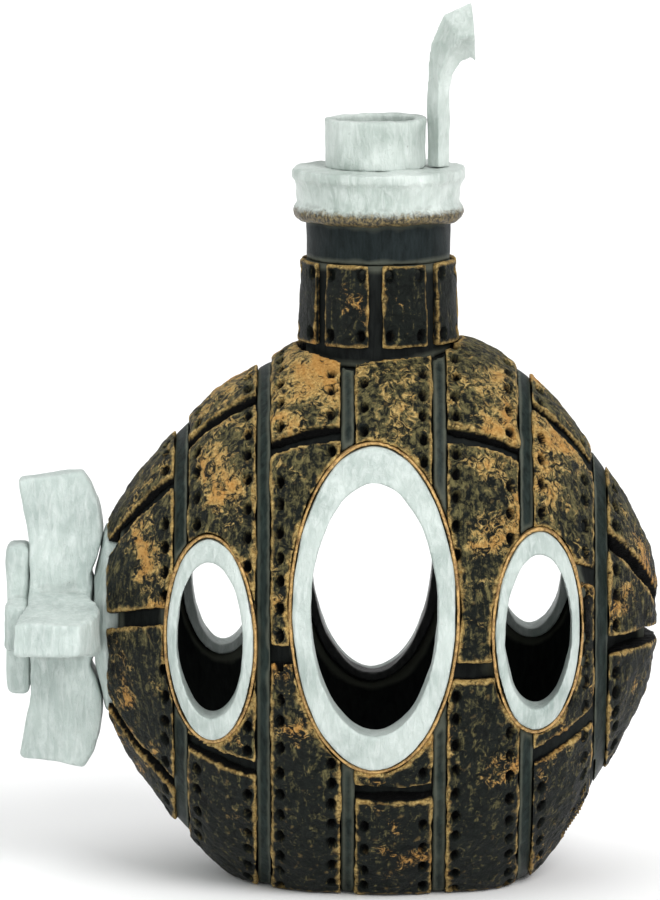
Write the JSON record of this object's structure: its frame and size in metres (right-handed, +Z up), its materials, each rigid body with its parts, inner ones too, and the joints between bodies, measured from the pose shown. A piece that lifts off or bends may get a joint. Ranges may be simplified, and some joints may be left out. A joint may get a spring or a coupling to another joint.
{
  "type": "aquarium bubbling ornament",
  "caption": "Toy submarine aquarium ornament with riveted plating, open oval portholes, a bubbling tower, a periscope and a propeller that spins.",
  "frame": {"origin": "middle of the flat underside", "axes": "+Z up, +X towards the nose, +Y to port; the propeller is at -X and the air inlet at +Y"},
  "size_m": [0.1203, 0.081, 0.1627],
  "materials": {
    "plate_iron": "hand painted, dry brushed with gold",
    "hoop_slate": "matt",
    "ring_silver": "satin silver paint",
    "bezel_gilt": "satin gold paint",
    "casting_black": "matt",
    "neck_slate": "matt",
    "cap_silver": "satin silver paint",
    "propeller_silver": "satin silver paint",
    "base_resin": "matt",
    "axle_steel": "drawn",
    "bush_plastic": "smooth",
    "inlet_plastic": "smooth",
    "hose_rubber": "matt",
    "stone_grit": "sintered grit"
  },
  "bodies": {
    "hull": {"air_hose": "hose_rubber", "air_inlet": "inlet_plastic", "air_stone": "stone_grit", "base_plate": "base_resin", "bubble_spout": "cap_silver", "hatch_cap": "cap_silver", "hoop_1": "hoop_slate", "hoop_2": "hoop_slate", "hoop_3": "hoop_slate", "hoop_4": "hoop_slate", "hoop_5": "hoop_slate", "hoop_6": "hoop_slate", "hull_half_port": "casting_black", "hull_half_starboard": "casting_black", "inlet_grommet": "hose_rubber", "periscope": "cap_silver", "plates_aft": "plate_iron", "plates_bow": "plate_iron", "plates_fore": "plate_iron", "plates_nose": "plate_iron", "plates_quarter": "plate_iron", "plates_tail": "plate_iron", "plates_waist": "plate_iron", "porthole_bezel_aft_port": "bezel_gilt", "porthole_bezel_aft_starboard": "bezel_gilt", "porthole_bezel_fore_port": "bezel_gilt", "porthole_bezel_fore_starboard": "bezel_gilt", "porthole_bezel_mid_port": "bezel_gilt", "porthole_bezel_mid_starboard": "bezel_gilt", "porthole_ring_aft_port": "ring_silver", "porthole_ring_aft_starboard": "ring_silver", "porthole_ring_fore_port": "ring_silver", "porthole_ring_fore_starboard": "ring_silver", "porthole_ring_mid_port": "ring_silver", "porthole_ring_mid_starboard": "ring_silver", "propeller_bush": "bush_plastic", "stern_boss": "propeller_silver", "stone_cradle": "base_resin", "stone_nipple": "inlet_plastic", "tower_collar": "casting_black", "tower_neck": "neck_slate", "tower_plates": "plate_iron"},
    "propeller": {"propeller": "propeller_silver", "hub_knob": "propeller_silver", "propeller_axle": "axle_steel", "axle_clip": "axle_steel"}
  },
  "joints": [
    {"name": "propeller_spin", "type": "hinge", "parent": "hull", "child": "propeller", "pos_m": [-0.059, 0, 0.0482], "axis": [1, 0, 0], "continuous": true}
  ]
}
